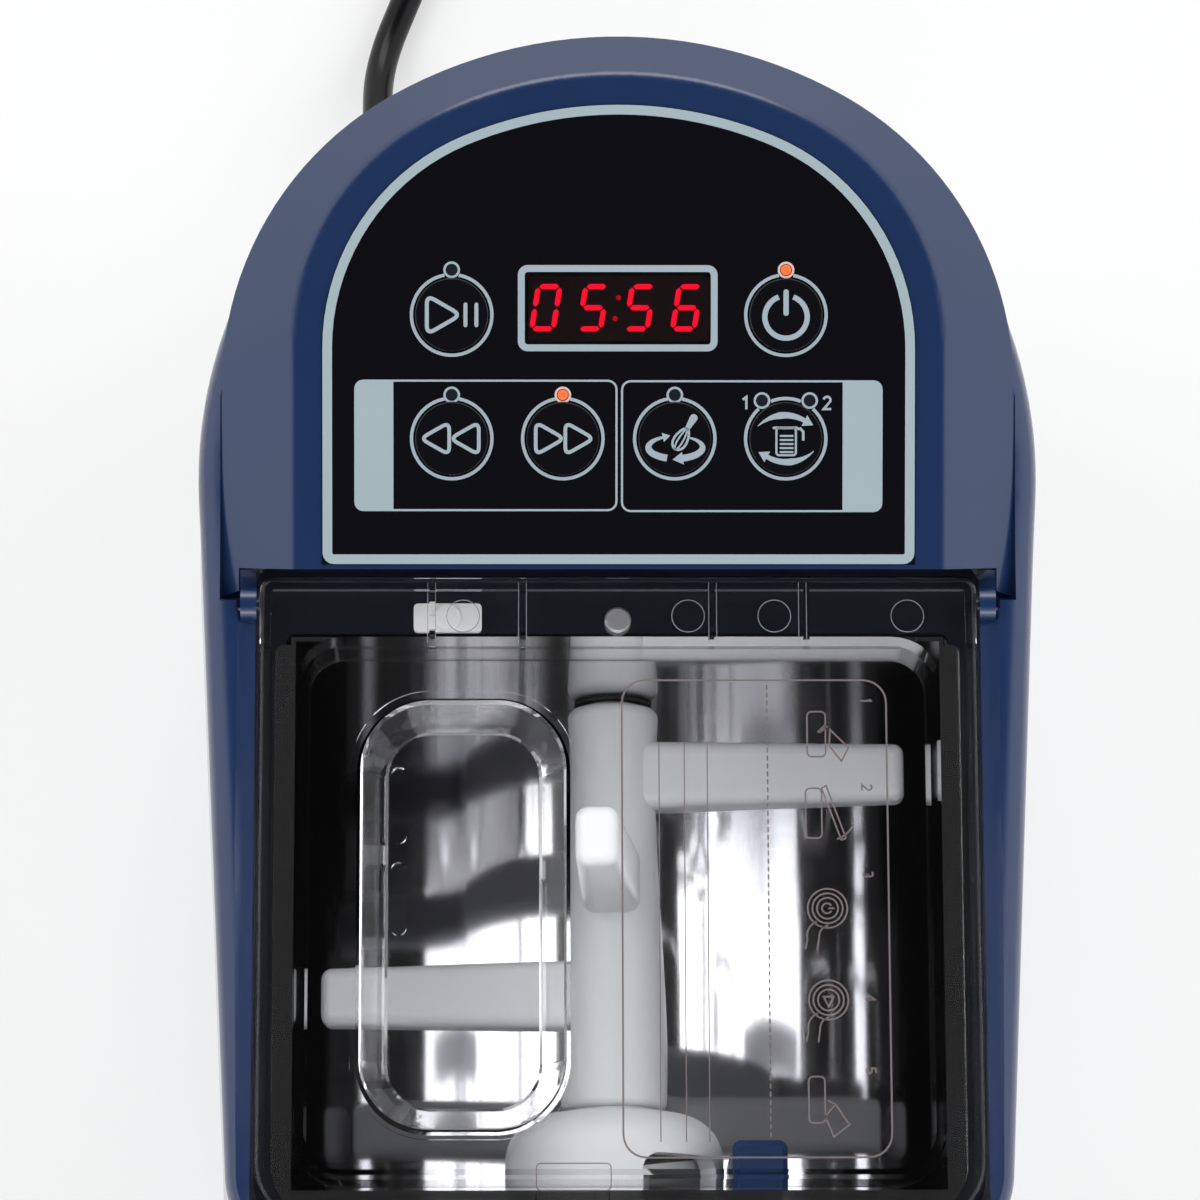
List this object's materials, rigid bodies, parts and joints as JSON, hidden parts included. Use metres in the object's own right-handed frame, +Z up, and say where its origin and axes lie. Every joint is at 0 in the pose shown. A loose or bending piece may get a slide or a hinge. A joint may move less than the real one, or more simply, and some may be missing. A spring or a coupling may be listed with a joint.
{
  "type": "electric_pasta_maker",
  "caption": "electric pasta and noodle maker: mixing trough with a turning rod under a clear tilting lid, feed screw, barrel and die at the front, sloping key panel, cord with plug",
  "frame": {"origin": "on the table under the middle of the machine without its cord", "axes": "+X to the user's right, +Y to the back with the cord, -Y to the front with the die, +Z up"},
  "size_m": [0.198, 0.534, 0.2846],
  "materials": {
    "navy_plastic": "satin",
    "pale_grey_plastic": "satin",
    "film_black": "gloss",
    "key_black": "gloss",
    "smoked_window": "gloss",
    "led_black": "matte",
    "lamp_orange": "gloss",
    "clear_smoke": "gloss",
    "white_satin": "satin",
    "white_moving": "satin",
    "steel_sheet": "polished",
    "steel_turned": "satin",
    "gear_plastic": "matte",
    "case_aluminium": "satin",
    "case_plastic": "matte",
    "motor_steel": "satin",
    "copper_wire": "gloss",
    "board_green": "satin",
    "switch_black": "matte",
    "capacitor_shell": "satin",
    "rubber_black": "matte",
    "cord_black": "gloss",
    "screw_zinc": "satin",
    "plug_brass": "polished"
  },
  "bodies": {
    "base": {"lower_casing": "pale_grey_plastic", "base_plate": "case_plastic", "rubber_feet": "rubber_black", "base_screws": "screw_zinc", "front_panel": "navy_plastic", "upper_casing": "navy_plastic", "control_hood": "navy_plastic", "overlay_film": "film_black", "display_window": "smoked_window", "led_display": "led_black", "indicator_lamps": "lamp_orange", "control_board": "board_green", "key_switches": "switch_black", "mixing_trough": "steel_sheet", "trough_back_plate": "steel_sheet", "extrusion_barrel": "white_satin", "barrel_lock": "navy_plastic", "noodle_die": "white_satin", "interlock_switch": "switch_black", "ledge_pin": "steel_turned", "gear_cover": "case_plastic", "gear_case": "case_plastic", "case_mounts": "rubber_black", "idler_pin": "steel_turned", "shaft_bearings": "steel_turned", "shaft_seal": "rubber_black", "motor_core": "motor_steel", "motor_windings": "copper_wire", "motor_front_bell": "case_aluminium", "motor_rear_bell": "case_aluminium", "motor_bearings": "steel_turned", "run_capacitor": "capacitor_shell", "power_board": "board_green", "strain_relief": "rubber_black", "power_cord": "cord_black", "cord_coil": "cord_black", "cord_tie": "white_moving", "plug_body": "cord_black", "plug_blades": "plug_brass"},
    "lid": {"lid": "clear_smoke"},
    "plunger": {"interlock_plunger": "white_moving"},
    "ring": {"die_ring": "pale_grey_plastic"},
    "drive": {"output_gear": "gear_plastic", "drive_shaft": "steel_turned", "mixing_rod": "white_satin", "feed_screw": "white_moving"},
    "idler": {"idler_gear": "gear_plastic", "idler_pinion": "steel_turned"},
    "rotor": {"motor_rotor": "motor_steel", "motor_pinion": "steel_turned", "motor_fan": "case_plastic"},
    "key_start_pause": {"key_start_pause": "key_black"},
    "key_power": {"key_power": "key_black"},
    "key_backward": {"key_backward": "key_black"},
    "key_forward": {"key_forward": "key_black"},
    "key_mixing": {"key_mixing": "key_black"},
    "key_batch": {"key_batch": "key_black"}
  },
  "joints": [
    {"name": "lid_tilt", "type": "hinge", "parent": "base", "child": "lid", "pos_m": [0, 0.0245, 0.2486], "axis": [-1, 0, 0], "range_deg": [0, 75]},
    {"name": "plunger_rise", "type": "slide", "parent": "base", "child": "plunger", "axis": [0, 0, 1], "range_m": [0, 0.0019]},
    {"name": "ring_turn", "type": "hinge", "parent": "base", "child": "ring", "pos_m": [0, -0.141, 0.168], "axis": [0, -1, 0], "range_deg": [0, 60]},
    {"name": "drive_spin", "type": "hinge", "parent": "base", "child": "drive", "pos_m": [0, 0, 0.168], "axis": [0, 1, 0], "continuous": true},
    {"name": "idler_spin", "type": "hinge", "parent": "base", "child": "idler", "pos_m": [0.02001, 0.045, 0.10616], "axis": [0, 1, 0], "continuous": true},
    {"name": "rotor_spin", "type": "hinge", "parent": "base", "child": "rotor", "pos_m": [0, 0.09, 0.056], "axis": [0, 1, 0], "continuous": true},
    {"name": "key_start_pause_press", "type": "slide", "parent": "base", "child": "key_start_pause", "axis": [0, 0.2588, -0.9659], "range_m": [0, 0.0004], "stiffness_N_per_m": 400},
    {"name": "key_power_press", "type": "slide", "parent": "base", "child": "key_power", "axis": [0, 0.2588, -0.9659], "range_m": [0, 0.0004], "stiffness_N_per_m": 400},
    {"name": "key_backward_press", "type": "slide", "parent": "base", "child": "key_backward", "axis": [0, 0.2588, -0.9659], "range_m": [0, 0.0004], "stiffness_N_per_m": 400},
    {"name": "key_forward_press", "type": "slide", "parent": "base", "child": "key_forward", "axis": [0, 0.2588, -0.9659], "range_m": [0, 0.0004], "stiffness_N_per_m": 400},
    {"name": "key_mixing_press", "type": "slide", "parent": "base", "child": "key_mixing", "axis": [0, 0.2588, -0.9659], "range_m": [0, 0.0004], "stiffness_N_per_m": 400},
    {"name": "key_batch_press", "type": "slide", "parent": "base", "child": "key_batch", "axis": [0, 0.2588, -0.9659], "range_m": [0, 0.0004], "stiffness_N_per_m": 400}
  ],
  "couplings": [
    {"joint": "plunger_rise", "follows": "lid_tilt", "m_per_rad": 0.00145},
    {"joint": "idler_spin", "follows": "drive_spin", "ratio": -4},
    {"joint": "rotor_spin", "follows": "drive_spin", "ratio": 20}
  ]
}
